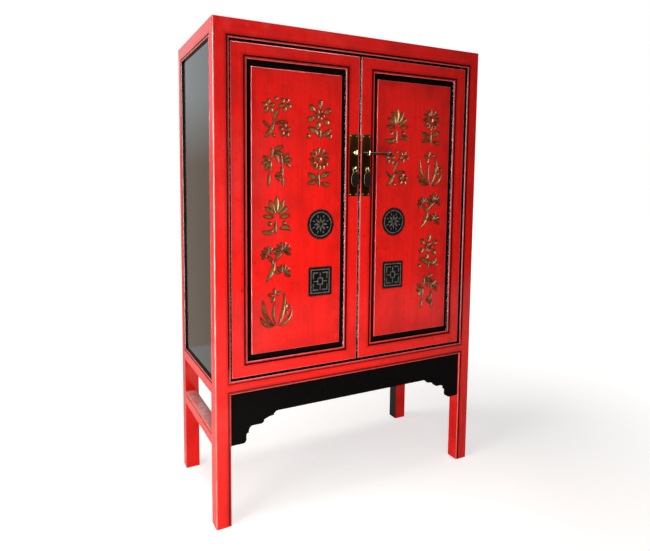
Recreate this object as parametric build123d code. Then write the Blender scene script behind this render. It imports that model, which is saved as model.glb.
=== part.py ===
from build123d import *
import os
from math import cos, radians, sin

# Chinese wedding cabinet. The origin is on the floor under the middle of the cabinet,
# +X points right, +Y points to the back and +Z up, so the doors face -Y. Millimetres.

# ---- overall ----
width = 1190.0
depth = 478.0
height = 1800.0

# ---- case frame ----
post_width = 59.0  # a post's size along X
post_depth = 50.0  # a post's size along Y
post_round = 6.0  # rounding of each post's outer upright edge
rail_depth = 40.0  # front and rear rails, along Y
side_rail_depth = 40.0  # side rails, along X
top_rail_height = 66.0  # front and rear
side_top_rail_height = 59.0
bottom_rail_low = 492.0  # underside of the four rails under the doors and panels
bottom_rail_height = 49.0
stretcher_low = 299.0
stretcher_size = 47.0
tenon_length = 22.0
tenon_thick = 12.0
tenon_shoulder = 8.0  # step between a rail's edge and its tenon's
rail_mortise_wall = 9.0  # wood in front of a tenon
tongue = 8.0  # how far boards and panels enter their grooves

# ---- beads round the openings ----
case_bead = 8.0
door_bead = 10.0
bead_round = 4.0
quirk_width = 3.0  # the sunk line beside a bead
quirk_depth = 3.2

# ---- panels and boards ----
side_panel_recess = 9.0
side_panel_thick = 10.0
back_panel_recess = 9.0
back_panel_thick = 10.0
back_muntin_width = 50.0
back_muntin_depth = 30.0
top_panel_drop = 6.0  # top panel's face below the top rails
top_panel_thick = 14.0
floor_drop = 6.0  # cabinet floor below the bottom rails' top
floor_thick = 14.0
batten_width = 36.0
batten_height = 20.0
batten_place = 290.0  # battens left and right of the middle

# ---- shelves ----
shelf_thick = 18.0
lower_shelf_level = 935.0  # undersides
upper_shelf_level = 1330.0
shelf_setback = 3.0  # front edge behind the front posts
bearer_height = 30.0
bearer_width = 28.0

# ---- apron ----
apron_recess = 6.0
apron_thick = 18.0
apron_drop = 93.0  # from the rail's underside to the apron's lower edge
bracket_drop = 99.0  # from there to the brackets' feet
bracket_length = 187.0

# ---- doors ----
door_recess = 8.0  # door face behind the posts' face
door_thick = 30.0
door_gap = 3.0  # at the posts and rails
meeting_gap = 3.0
door_stile = 64.0
door_rail = 59.0
door_round = 7.0
door_tenon_length = 34.0
pivot_inset = 14.0  # pivot axis from the stile's outer edge
pivot_back = 10.0  # pivot axis behind the door's face
pivot_radius = 7.0
pivot_length = 18.0
pivot_clearance = 0.08
seat_clearance = 0.3

# ---- door panels ----
field_side_margin = 16.75  # board seen beside the raised field
field_end_margin = 21.5  # board seen above and below it
field_sink = 3.0  # raised field behind the frame's face
field_thick = 8.0
field_round = 2.5
board_thick = 8.0
carving_depth = 5.0
carving_slope = 34.0  # degrees that the cuts' walls lean outwards, except in the seals

# ---- carvings, as drawn from the middle of a field of this size ----
drawn_width = 370.0
drawn_height = 1026.0
motif_pitch = 173.0
motif_top = 342.5  # middle of the top row
tall_column = 86.0  # towards the posts
short_column = 88.0  # towards the other door
seal_column = 97.0
round_seal_level = -46.5
round_seal_radius = 54.0
square_seal_level = -264.5
square_seal_width = 96.0
square_seal_height = 106.0
seal_line = 4.5  # width of the raised lines in the seals
seal_edge = 6.0  # sunk strip round the seals' borders

# ---- brass ----
plate_width = 40.0
plate_height = 237.0
plate_thick = 2.0
plate_inset = 27.5  # plate's middle from the door's free edge
plate_level = 1314.5
staple_level = 1362.0
staple_wire = 3.2
pin_radius = 4.6
pin_clearance = 0.7
pin_reach = 126.0  # tip to the middle of the ball
pin_ball = 11.0
pin_tip_rest = 2.0  # tip from the cabinet's middle when drawn back
staple_stand = 2.0  # loop off its collar
collar_radius = 6.0
collar_thick = 1.5
eye_level = 1304.0
eye_wire = 2.0
bail_wire = 2.0
bail_radius = 8.0
bail_clearance = 0.5
drop_width = 34.0
drop_height = 58.0
drop_thick = 5.0
drop_level = 1261.0
rivet_inset = 7.0
rivet_head = 3.0
rivet_shank = 1.5
rivet_length = 12.0

# ---- worked out ----
half_width = width / 2
half_depth = depth / 2
front = -half_depth
opening_half = half_width - post_width
opening_low = bottom_rail_low + bottom_rail_height
opening_high = height - top_rail_height
side_half = half_depth - post_depth
side_high = height - side_top_rail_height
door_face = front + door_recess
door_outer = -opening_half + door_gap
door_inner = -meeting_gap / 2
door_low = opening_low + door_gap
door_high = opening_high - door_gap
pivot_x = door_outer + pivot_inset
pivot_y = door_face + pivot_back
field_face = door_face + field_sink
board_face = field_face + field_thick
plate_face = door_face - plate_thick
plate_x = door_inner - plate_inset
cut = 1.0  # cutters reach this far into the air


def block(x0, x1, y0, y1, z0, z1):
    """A box between two corners."""
    return Pos((x0 + x1) / 2, (y0 + y1) / 2, (z0 + z1) / 2) * Box(x1 - x0, y1 - y0, z1 - z0)


def flip(solid):
    """The same piece on the right-hand side."""
    return mirror(solid, about=Plane.YZ)


def rod_y(x, z, radius, y0, y1):
    """A round rod along Y."""
    return Pos(x, (y0 + y1) / 2, z) * Rot(X=90) * Cylinder(radius, y1 - y0)


def ring_x(x, y, z, radius, wire):
    """A ring whose hole runs along X."""
    return Pos(x, y, z) * Rot(Y=90) * Torus(radius, wire)


# ---- mouldings ----


def edge_profile(radius):
    """What rounding an edge takes away: u runs into the wood, v from the face inwards."""
    middle = radius * (1 - sin(radians(45)))
    corner = Polyline((0, radius), (-cut, radius), (-cut, -cut), (radius, -cut), (radius, 0))
    return make_face(corner + ThreePointArc((radius, 0), (middle, middle), (0, radius)))


def quirk_profile(bead):
    """The sunk line beside a bead, with the bead's far side rounded down into it."""
    slope = bead - quirk_depth
    far = bead + quirk_width
    middle = (slope + quirk_depth * sin(radians(45)), quirk_depth * (1 - cos(radians(45))))
    line = Polyline((slope, 0), (slope, -cut), (far, -cut), (far, quirk_depth), (bead, quirk_depth))
    return make_face(line + ThreePointArc((bead, quirk_depth), middle, (slope, 0)))


def run(profile, points):
    """A cutter in the front face along points (x, z), with the wood on the path's right."""
    path = Polyline([(x, 0, z) for x, z in points])
    along = path @ 0.001 - path @ 0
    wood = along.cross(Vector(0, 1, 0)).normalized()
    plane = Plane(origin=path @ 0, x_dir=wood, z_dir=wood.cross(Vector(0, 1, 0)))
    return sweep(plane * profile, path=path, transition=Transition.RIGHT)


def ring_points(x0, x1, z0, z1):
    """A path round an opening from the middle of its lower side, with the wood outside."""
    middle = (x0 + x1) / 2
    return [(middle, z0), (x0, z0), (x0, z1), (x1, z1), (x1, z0), (middle, z0)]


def bead_cuts(points, bead, location):
    """The two cutters of a bead, moved to their face."""
    return [location * run(profile, points) for profile in (edge_profile(bead_round), quirk_profile(bead))]


# ---- case: rails, panels and boards ----


def front_rail(low, high, side):
    """A rail along X, at the front (side -1) or the back (side 1), with a tenon at each end."""
    outer = side * half_depth
    inner = outer - side * rail_depth
    tenon_outer = outer - side * rail_mortise_wall
    tenon_inner = tenon_outer - side * tenon_thick
    reach = opening_half + tenon_length
    rail = block(-opening_half, opening_half, min(outer, inner), max(outer, inner), low, high)
    tenon_y = sorted((tenon_outer, tenon_inner))
    return rail + block(-reach, reach, *tenon_y, low + tenon_shoulder, high - tenon_shoulder)


def left_rail(low, high, thick):
    """A rail along Y at the left side, with a tenon at each end."""
    tenon_x = -half_width + rail_mortise_wall
    reach = side_half + tenon_length
    rail = block(-half_width, -half_width + thick, -side_half, side_half, low, high)
    tenon = block(tenon_x, tenon_x + tenon_thick, -reach, reach, low + tenon_shoulder, high - tenon_shoulder)
    return rail + tenon


rails = {
    "top_rail_front": front_rail(opening_high, height, -1),
    "top_rail_rear": front_rail(opening_high, height, 1),
    "bottom_rail_front": front_rail(bottom_rail_low, opening_low, -1),
    "bottom_rail_rear": front_rail(bottom_rail_low, opening_low, 1),
    "top_rail_left": left_rail(side_high, height, side_rail_depth),
    "bottom_rail_left": left_rail(bottom_rail_low, opening_low, side_rail_depth),
    "stretcher_left": left_rail(stretcher_low, stretcher_low + stretcher_size, stretcher_size),
}

panel_x = -half_width + side_panel_recess
side_panel = block(
    panel_x,
    panel_x + side_panel_thick,
    -side_half - tongue,
    side_half + tongue,
    opening_low - tongue,
    side_high + tongue,
)
panel_inside = panel_x + side_panel_thick

back_face = half_depth - back_panel_recess
muntin_half = back_muntin_width / 2
back_muntin = block(
    -muntin_half,
    muntin_half,
    half_depth - back_muntin_depth,
    half_depth,
    opening_low,
    opening_high,
) + block(
    -muntin_half + tenon_shoulder,
    muntin_half - tenon_shoulder,
    back_face - back_panel_thick,
    back_face,
    opening_low - tenon_length,
    opening_high + tenon_length,
)
back_panel = block(
    -opening_half - tongue,
    -muntin_half + tongue,
    back_face - back_panel_thick,
    back_face,
    opening_low - tongue,
    opening_high + tongue,
)

apron_low = bottom_rail_low - apron_drop
apron_y = front + apron_recess
apron = block(
    -opening_half - tongue,
    opening_half + tongue,
    apron_y,
    apron_y + apron_thick,
    apron_low,
    bottom_rail_low + tongue,
)


def bracket_outline():
    """The cusped edge of a bracket, from the post along its foot and up to the apron's edge."""
    lobes = [  # shares of the bracket's length and drop
        ((0, 1), None, (0.246, 1)),
        ((0.246, 1), (0.299, 0.96), (0.321, 0.859)),
        ((0.321, 0.859), None, (0.321, 0.707)),
        ((0.321, 0.707), (0.337, 0.646), (0.374, 0.626)),
        ((0.374, 0.626), (0.385, 0.475), (0.439, 0.384)),
        ((0.439, 0.384), None, (0.61, 0.384)),
        ((0.61, 0.384), (0.674, 0.354), (0.701, 0.253)),
        ((0.701, 0.253), (0.791, 0.182), (0.904, 0.152)),
        ((0.904, 0.152), (0.936, 0.051), (1, 0)),
    ]
    edges = Line((-tongue, 0), (-tongue, -bracket_drop)) + Line((-tongue, -bracket_drop), (0, -bracket_drop))
    for start, middle, end in lobes:
        spots = [(s * bracket_length, -h * bracket_drop) for s, h in (start, middle or start, end)]
        edges += ThreePointArc(*spots) if middle else Line(spots[0], spots[2])
    return make_face(edges + Line((bracket_length, 0), (-tongue, 0)))


bracket = extrude(Plane.XZ * bracket_outline(), -apron_thick)
bracket = Pos(-opening_half, apron_y, apron_low) * bracket

top_face = height - top_panel_drop
floor_face = opening_low - floor_drop
case_inside_x = half_width - side_rail_depth
case_inside_y = half_depth - rail_depth


def inner_board(high, thick):
    """A level board in the grooves of the four rails round it."""
    reach_x = case_inside_x + tongue
    reach_y = case_inside_y + tongue
    return block(-reach_x, reach_x, -reach_y, reach_y, high - thick, high)


def battens(high):
    """Two cross battens under a level board, tenoned into the front and rear rails."""
    reach = case_inside_y + tongue
    solids = [
        block(x - batten_width / 2, x + batten_width / 2, -reach, reach, high - batten_height, high)
        for x in (-batten_place, batten_place)
    ]
    return Compound(children=solids)


top_panel = inner_board(top_face, top_panel_thick)
floor_board = inner_board(floor_face, floor_thick)
top_battens = battens(top_face - top_panel_thick)
floor_battens = battens(floor_face - floor_thick)

shelf_levels = (lower_shelf_level, upper_shelf_level)
shelf_front = -side_half + shelf_setback
shelves = [
    block(panel_inside, -panel_inside, shelf_front, back_face - back_panel_thick, low, low + shelf_thick)
    for low in shelf_levels
]
bearers = [
    block(
        panel_inside,
        panel_inside + bearer_width,
        -side_half - tongue,
        side_half + tongue,
        low - bearer_height,
        low,
    )
    for low in shelf_levels
]

# ---- case: posts ----


def left_post(side):
    """A left post, at the front (side -1) or the back (side 1), before its mortises."""
    y0, y1 = sorted((side * half_depth, side * side_half))
    post = block(-half_width, -opening_half, y0, y1, 0, height)
    corner = post.edges().filter_by(Axis.Z).sort_by_distance((-half_width, side * half_depth, height / 2))[0]
    return fillet(corner, post_round)


to_front = Pos(Y=front)
to_left = Pos(X=-half_width) * Rot(Z=-90)
stretcher_top = stretcher_low + stretcher_size
door_opening = ring_points(-opening_half, opening_half, opening_low, opening_high)
side_opening = ring_points(-side_half, side_half, opening_low, side_high)
door_bead_cuts = bead_cuts(door_opening, case_bead, to_front)
leg_path = [
    (-opening_half, -cut),
    (-opening_half, bottom_rail_low),
    (opening_half, bottom_rail_low),
    (opening_half, -cut),
]
leg_bead_cuts = bead_cuts(leg_path, case_bead, to_front)
side_bead_cuts = bead_cuts(side_opening, case_bead, to_left)
stretcher_edge = [(side_half, stretcher_top), (-side_half, stretcher_top)]
stretcher_bead_cuts = bead_cuts(stretcher_edge, case_bead, to_left)

posts = {-1: left_post(-1), 1: left_post(1)}
boards = [top_panel, floor_board] + shelves
for side, post in posts.items():
    boards = [board - post - flip(post) for board in boards]
top_panel, floor_board, shelf_lower, shelf_upper = boards
shelf_lower = shelf_lower - back_muntin
shelf_upper = shelf_upper - back_muntin

let_in_left = [rails["top_rail_left"], rails["bottom_rail_left"], rails["stretcher_left"], side_panel]
let_in_left += bearers
let_in_front = [rails["top_rail_front"], rails["bottom_rail_front"], apron, bracket]
let_in_rear = [rails["top_rail_rear"], rails["bottom_rail_rear"], back_panel]
for side, inserts in ((-1, let_in_front), (1, let_in_rear)):
    posts[side] = posts[side] - let_in_left - inserts
posts[-1] = posts[-1] - door_bead_cuts - leg_bead_cuts - side_bead_cuts
posts[1] = posts[1] - side_bead_cuts

# ---- doors ----

door_back = door_face + door_thick
light_left = door_outer + door_stile
light_right = door_inner - door_stile
light_low = door_low + door_rail
light_high = door_high - door_rail
field_left = light_left + field_side_margin
field_right = light_right - field_side_margin
field_low = light_low + field_end_margin
field_high = light_high - field_end_margin

door_board = block(
    light_left - tongue,
    light_right + tongue,
    board_face,
    board_face + board_thick,
    light_low - tongue,
    light_high + tongue,
)
to_door = Pos(Y=door_face)
door_cuts = bead_cuts(ring_points(light_left, light_right, light_low, light_high), door_bead, to_door)
door_edge = ring_points(door_outer, door_inner, door_low, door_high)[::-1]
door_cuts.append(to_door * run(edge_profile(door_round), door_edge))


def door_tenons(rail_low, rail_high, shoulder_low, shoulder_high):
    """The two tenons of a door rail, hidden in the stiles."""
    low = rail_low + shoulder_low
    high = rail_high - shoulder_high
    depths = (board_face, board_face + board_thick)
    return [
        block(light_left - door_tenon_length, light_left + cut, *depths, low, high),
        block(light_right - cut, light_right + door_tenon_length, *depths, low, high),
    ]


top_tenons = door_tenons(light_high, door_high, tongue, tenon_shoulder)
bottom_tenons = door_tenons(door_low, light_low, tenon_shoulder, tongue)
frame = {
    "outer": block(door_outer, light_left, door_face, door_back, door_low, door_high),
    "inner": block(light_right, door_inner, door_face, door_back, door_low, door_high),
    "top": block(light_left, light_right, door_face, door_back, light_high, door_high) + top_tenons,
    "bottom": block(light_left, light_right, door_face, door_back, door_low, light_low) + bottom_tenons,
}
for name in ("outer", "inner"):
    frame[name] = frame[name] - top_tenons - bottom_tenons
frame = {name: solid - door_cuts - door_board for name, solid in frame.items()}


def pivots(radius, overlap, length):
    """The lower and upper pivots, or with larger values their sockets."""
    reach = door_gap + length
    spans = ((door_low - reach, door_low + overlap), (door_high - overlap, door_high + reach))
    return [Pos(pivot_x, pivot_y, (z0 + z1) / 2) * Cylinder(radius, z1 - z0) for z0, z1 in spans]


frame["outer"] = frame["outer"] + pivots(pivot_radius, cut, pivot_length)
sockets = pivots(pivot_radius + pivot_clearance, 0, pivot_length + seat_clearance)

# ---- carvings ----


def stroke(x, z, length, wide, angle, bend=0.0):
    """A pointed brush stroke from (x, z), bent sideways by bend at its middle."""
    tip = (x + length * cos(radians(angle)), z + length * sin(radians(angle)))
    across = (-sin(radians(angle)), cos(radians(angle)))
    middles = [
        ((x + tip[0]) / 2 + across[0] * (bend + half), (z + tip[1]) / 2 + across[1] * (bend + half))
        for half in (wide / 2, -wide / 2)
    ]
    return make_face(ThreePointArc((x, z), middles[0], tip) + ThreePointArc(tip, middles[1], (x, z)))


def fan(x, z, length, wide, angles, bend=0.0, gap=0.0):
    """Strokes that spread from one place, each starting gap away from it."""
    return [
        stroke(x + gap * cos(radians(a)), z + gap * sin(radians(a)), length, wide, a, bend) for a in angles
    ]


def dot(x, z, radius):
    """A round bud or berry."""
    return Pos(x, z) * Circle(radius)


def flower(x, z, size, turn=90):
    """A five-petalled blossom with a bud in its middle."""
    return fan(x, z, size, size * 0.72, range(turn, turn + 360, 72), gap=size * 0.3)


def bamboo():
    stalks = [stroke(-34 + 6 * i, -73 + 48 * i, 47, 12, 83) for i in range(3)]
    stalks += [stroke(26 - 3 * i, -73 + 39 * i, 39, 10, 95) for i in range(3)]
    leaves = fan(-14, 54, 42, 13, (22, -20, -62), 2, 5) + fan(-24, 14, 34, 13, (148, 190, 232), -2, 4)
    return stalks + leaves + fan(24, 20, 34, 13, (44, 4, -36), 2, 4) + fan(-12, -34, 32, 12, (10, -34), 2, 5)


def plum():
    branch = [stroke(-50, -72, 68, 16, 54, -6), stroke(-14, -22, 64, 13, 66, 5)]
    branch += [stroke(-14, -24, 60, 11, 8, 4), stroke(-24, -36, 38, 10, 142, 3)]
    blooms = flower(-32, 38, 20) + flower(33, 47, 20, 54) + flower(32, -44, 20)
    return branch + blooms + [dot(-2, 66, 7), dot(-12, -64, 6)]


def orchid():
    blades = [stroke(-6, -70, 118, 14, 114, 16), stroke(2, -70, 130, 14, 78, -13)]
    blades += [stroke(8, -70, 80, 14, 46, -13), stroke(-12, -68, 68, 13, 142, 12)]
    blades += [stroke(-2, -68, 90, 11, 93, 8)]
    blooms = fan(-6, 46, 24, 13, (20, 92, 164, 236), 2, 5) + fan(42, -8, 17, 11, (20, 92, 160, 250), 2, 4)
    return blades + blooms


def chrysanthemum():
    bloom = fan(0, 28, 26, 12, range(0, 360, 30), 2, 18) + [dot(0, 28, 12)]
    leaves = fan(0, -44, 46, 19, (24, 156), 4, 6) + fan(0, -58, 42, 15, (-8, 188), -4, 8)
    return bloom + leaves + [stroke(2, -75, 56, 12, 92, 3)]


def lotus():
    bloom = fan(0, -4, 62, 20, (90,), 0, 8) + fan(0, -6, 56, 18, (62, 118), 0, 10)
    bloom += fan(0, -8, 50, 16, (36, 144), 0, 10) + fan(0, -14, 46, 14, (8, 172), 0, 10)
    stem = [stroke(0, -74, 54, 12, 92, 5), stroke(-58, -60, 50, 17, 8, -10), stroke(10, -56, 50, 17, -8, 10)]
    return bloom + stem + [dot(-28, -34, 8), dot(30, -33, 7)]


def pine():
    trunk = [stroke(-44, -74, 84, 18, 64, -7), stroke(-10, -4, 62, 13, 42, 5)]
    trunk += [stroke(-14, -10, 42, 11, 128, -4), stroke(-30, -44, 34, 10, 8, 3)]
    tufts = fan(24, 34, 31, 10, range(-20, 220, 30), 0, 7) + fan(-34, 26, 26, 9, range(30, 240, 30), 0, 6)
    return trunk + tufts + fan(24, -48, 30, 10, range(-20, 190, 30), 0, 7)


def peony():
    petals = fan(0, 18, 30, 19, range(18, 378, 60), 4, 24) + fan(0, 18, 17, 11, range(48, 408, 60), 2, 5)
    leaves = fan(0, -58, 50, 18, (28, 152), -6, 6) + [stroke(0, -75, 44, 11, 90, -3)]
    return petals + leaves + [dot(-46, -60, 8), dot(46, -60, 8)]


def round_seal():
    """A sunk round with a raised ring and a raised eight-petalled rosette."""
    ring_radius = round_seal_radius - seal_edge
    ring = Circle(ring_radius) - Circle(ring_radius - seal_line)
    rosette = fan(0, 0, 24, 8, range(0, 360, 45), 0, 5)
    rays = fan(0, 0, 13, 5, range(22, 382, 45), 0, 25)
    return [Circle(round_seal_radius) - ring - rosette - rays]


def square_seal():
    """A sunk square with a raised border, and in it a raised square, four bars and four crooks."""
    wide, high, line = square_seal_width, square_seal_height, seal_line
    sizes = ((wide - 2 * seal_edge, high - 2 * seal_edge), (0.26 * wide, 0.26 * high))
    lattice = [Rectangle(w, h) - Rectangle(w - 2 * line, h - 2 * line) for w, h in sizes]
    for i in (-1, 1):
        lattice.append(Pos(0, i * 0.22 * high) * Rectangle(line, 0.18 * high))
        lattice.append(Pos(i * 0.22 * wide, 0) * Rectangle(0.18 * wide, line))
        for k in (-1, 1):
            lattice.append(Pos(i * 0.21 * wide, k * 0.31 * high) * Rectangle(0.2 * wide + line, line))
            lattice.append(Pos(i * 0.31 * wide, k * 0.21 * high) * Rectangle(line, 0.2 * high + line))
    return [Rectangle(wide, high) - lattice]


def carved_panel(side, tall, short):
    """A raised door panel; side is -1 on the left, and tall and short list its motifs from the top."""
    panel = block(field_left, field_right, field_face, board_face, field_low, field_high)
    if side > 0:
        panel = flip(panel)
    panel = fillet(panel.faces().sort_by(Axis.Y)[0].edges(), field_round)
    middle_x = -side * (field_left + field_right) / 2
    middle_z = (field_low + field_high) / 2
    stretch_x = (field_right - field_left) / drawn_width
    stretch_z = (field_high - field_low) / drawn_height
    spots = [(-side * seal_column, round_seal_level, round_seal)]
    spots += [(-side * seal_column, square_seal_level, square_seal)]
    for column, motifs in ((side * tall_column, tall), (-side * short_column, short)):
        spots += [(column, motif_top - row * motif_pitch, motif) for row, motif in enumerate(motifs)]
    for x, z, motif in spots:
        place = Pos(middle_x + x * stretch_x, middle_z + z * stretch_z)
        shapes = [place * scale(shape, by=min(stretch_x, stretch_z)) for shape in motif()]
        strokes = [Plane.XZ * shape for shape in shapes]
        slope = 0 if motif in (round_seal, square_seal) else carving_slope
        panel = panel - [Pos(Y=field_face) * extrude(shape, -carving_depth, taper=slope) for shape in strokes]
    return panel


left_panel = carved_panel(-1, (plum, bamboo, lotus, pine, orchid), (peony, chrysanthemum))
right_panel = carved_panel(1, (chrysanthemum, orchid, pine, peony, bamboo), (lotus, plum))

# ---- brass ----


def staple(x, z, radius, wire, y):
    """A loop with a collar on the plate and a shank through the stile."""
    loop = ring_x(x, y, z, radius, wire)
    collar = rod_y(x, z, collar_radius, plate_face - collar_thick, plate_face)
    return loop + collar + rod_y(x, z, wire, y + radius, door_back)


def loop_place(radius, wire):
    """How far in front a loop's middle stands so that it clears its collar."""
    return plate_face - collar_thick - staple_stand - radius - wire


staple_radius = pin_radius + pin_clearance + staple_wire
staple_y = loop_place(staple_radius, staple_wire)
eye_radius = bail_wire + bail_clearance + eye_wire
eye_y = loop_place(eye_radius, eye_wire)
door_staple = staple(plate_x, staple_level, staple_radius, staple_wire, staple_y)
door_eye = staple(plate_x, eye_level, eye_radius, eye_wire, eye_y)

rivet_spots = [
    (plate_x + i * (plate_width / 2 - rivet_inset), plate_level + k * (plate_height / 2 - rivet_inset))
    for i in (-1, 1)
    for k in (-1, 1)
]


def rivet(x, z):
    """A domed rivet through the plate into the stile."""
    dome = Pos(x, plate_face + rivet_shank, z) * Sphere(rivet_head)
    behind = block(x - rivet_head, x + rivet_head, plate_face, door_back, z - rivet_head, z + rivet_head)
    return dome - behind + rod_y(x, z, rivet_shank, plate_face - cut, plate_face + rivet_length)


rivets = [rivet(x, z) for x, z in rivet_spots]
plate = block(
    plate_x - plate_width / 2,
    plate_x + plate_width / 2,
    plate_face,
    door_face,
    plate_level - plate_height / 2,
    plate_level + plate_height / 2,
)
through = [door_staple, door_eye] + rivets
plate = plate - through
frame["inner"] = frame["inner"] - through

bail = Pos(plate_x, eye_y, eye_level - bail_radius) * Rot(X=90) * Torus(bail_radius, bail_wire)
drop = extrude(Plane.XZ * Ellipse(drop_width / 2, drop_height / 2), drop_thick / 2, both=True)
drop = fillet(drop.edges(), drop_thick * 0.3)
pendant = bail + Pos(plate_x, eye_y, drop_level) * drop

pin_start = pin_tip_rest + pin_radius
pin_ball_x = pin_tip_rest + pin_reach
pin_rod = Pos((pin_start + pin_ball_x) / 2) * Rot(Y=90) * Cylinder(pin_radius, pin_ball_x - pin_start)
lock_pin = pin_rod + Pos(pin_start) * Sphere(pin_radius) + Pos(pin_ball_x) * Sphere(pin_ball)
lock_pin = Pos(0, staple_y, staple_level) * lock_pin

# ---- case: grooves and mortises in the rails ----

right_sockets = [flip(socket) for socket in sockets]
right_back_panel = flip(back_panel)
back_parts = [back_muntin, back_panel, right_back_panel]
rails["top_rail_front"] -= [top_panel, top_battens, *door_bead_cuts, *sockets, *right_sockets]
rails["top_rail_rear"] -= [top_panel, top_battens, *back_parts]
rails["bottom_rail_front"] -= [floor_board, floor_battens, apron, *door_bead_cuts, *leg_bead_cuts]
rails["bottom_rail_front"] -= sockets + right_sockets
rails["bottom_rail_rear"] -= [floor_board, floor_battens, *back_parts]
rails["top_rail_left"] -= [top_panel, side_panel, *side_bead_cuts]
rails["bottom_rail_left"] -= [floor_board, side_panel, *side_bead_cuts]
rails["stretcher_left"] -= stretcher_bead_cuts
back_muntin = back_muntin - back_panel - right_back_panel

# ---- all pieces ----

mirrored = {
    "post_front_left": posts[-1],
    "post_rear_left": posts[1],
    "top_rail_left": rails.pop("top_rail_left"),
    "bottom_rail_left": rails.pop("bottom_rail_left"),
    "stretcher_left": rails.pop("stretcher_left"),
    "side_panel_left": side_panel,
    "back_panel_left": back_panel,
    "shelf_bearers_left": Compound(children=bearers),
    "apron_bracket_left": bracket,
    "left_door_outer_stile": frame["outer"],
    "left_door_inner_stile": frame["inner"],
    "left_door_top_rail": frame["top"],
    "left_door_bottom_rail": frame["bottom"],
    "left_door_board": door_board,
    "left_door_plate": plate,
    "left_door_staple": door_staple,
    "left_door_eye": door_eye,
    "left_door_rivets": Compound(children=rivets),
    "left_pendant": pendant,
}
pieces = mirrored | {name.replace("left", "right"): flip(solid) for name, solid in mirrored.items()}
pieces.update(rails)
pieces.update(
    {
        "back_muntin": back_muntin,
        "top_panel": top_panel,
        "top_battens": top_battens,
        "floor_board": floor_board,
        "floor_battens": floor_battens,
        "shelf_lower": shelf_lower,
        "shelf_upper": shelf_upper,
        "apron": apron,
        "left_door_panel": left_panel,
        "right_door_panel": right_panel,
        "lock_pin": lock_pin,
    }
)

os.makedirs("parts", exist_ok=True)
for name, solid in pieces.items():
    export_step(solid, f"parts/{name}.step")
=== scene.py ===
from math import pi, radians

import bmesh
import bpy
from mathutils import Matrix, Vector


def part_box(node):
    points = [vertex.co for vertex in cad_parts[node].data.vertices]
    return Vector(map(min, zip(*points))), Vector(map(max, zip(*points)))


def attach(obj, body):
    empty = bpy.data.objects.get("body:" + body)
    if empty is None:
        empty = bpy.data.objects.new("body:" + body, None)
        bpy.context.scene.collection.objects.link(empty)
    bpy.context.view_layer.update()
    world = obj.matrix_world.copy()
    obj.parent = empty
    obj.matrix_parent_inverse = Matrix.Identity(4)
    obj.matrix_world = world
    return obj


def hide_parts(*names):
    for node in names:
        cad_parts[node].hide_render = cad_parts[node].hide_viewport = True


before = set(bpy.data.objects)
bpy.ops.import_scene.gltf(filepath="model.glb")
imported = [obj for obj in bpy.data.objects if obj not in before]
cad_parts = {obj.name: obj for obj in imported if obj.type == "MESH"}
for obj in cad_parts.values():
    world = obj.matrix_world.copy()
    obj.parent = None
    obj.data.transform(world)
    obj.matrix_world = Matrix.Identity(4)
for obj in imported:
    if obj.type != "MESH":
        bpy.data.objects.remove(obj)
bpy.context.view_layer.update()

bl_info = {
    "name": "Chinese wedding cabinet",
    "version": (1, 0, 0),
    "blender": (4, 5, 0),
    "location": "3D View > Sidebar > Cabinet",
    "description": "Lacquers, gilds and fits the brass of a wedding cabinet, and sets up its stage",
    "category": "Object",
}

# Metres. The origin is on the floor under the middle of the cabinet, and the doors face -Y.
MM = 0.001
CASE_LOW, CASE_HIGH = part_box("post_front_left")
RAIL_LOW, RAIL_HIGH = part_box("bottom_rail_front")
TOP_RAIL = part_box("top_rail_front")[0].z
SIDE_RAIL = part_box("top_rail_left")[0].z
SIDE_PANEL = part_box("side_panel_left")[0].x
STRETCHER_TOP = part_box("stretcher_left")[1].z
STILE_LOW, STILE_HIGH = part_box("left_door_outer_stile")
INNER_LOW, INNER_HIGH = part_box("left_door_inner_stile")
DOOR_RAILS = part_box("left_door_bottom_rail")[1].z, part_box("left_door_top_rail")[0].z
DOOR_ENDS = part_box("left_door_bottom_rail")[0].z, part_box("left_door_top_rail")[1].z
FIELD_LOW, FIELD_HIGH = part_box("left_door_panel")
SIDE_OPENING = -CASE_HIGH.y  # half of a side's opening along Y
CASE_BEAD = 8 * MM
DOOR_BEAD = 10 * MM
FIELD_RIM = 5 * MM
SLACK = 1 * MM  # how far a place may stand proud of a face and still count as on it
SKIN = 0.3 * MM  # how far paint reaches past a brink
FAR = 1.0  # the open end of a range


def linear(code):
    """An sRGB hex colour as linear red, green, blue and full alpha."""
    parts = [int(code[i : i + 2], 16) / 255 for i in (1, 3, 5)]
    return (*(p / 12.92 if p <= 0.04045 else ((p + 0.055) / 1.055) ** 2.4 for p in parts), 1.0)


def colour(name, code, description):
    """A colour property that starts at an sRGB hex colour."""
    return bpy.props.FloatVectorProperty(
        name=name,
        description=description,
        default=linear(code),
        size=4,
        min=0,
        max=1,
        subtype="COLOR",
    )


def length(name, metres, description):
    """A length property in metres."""
    return bpy.props.FloatProperty(
        name=name, description=description, default=metres, min=0, unit="LENGTH"
    )


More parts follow.
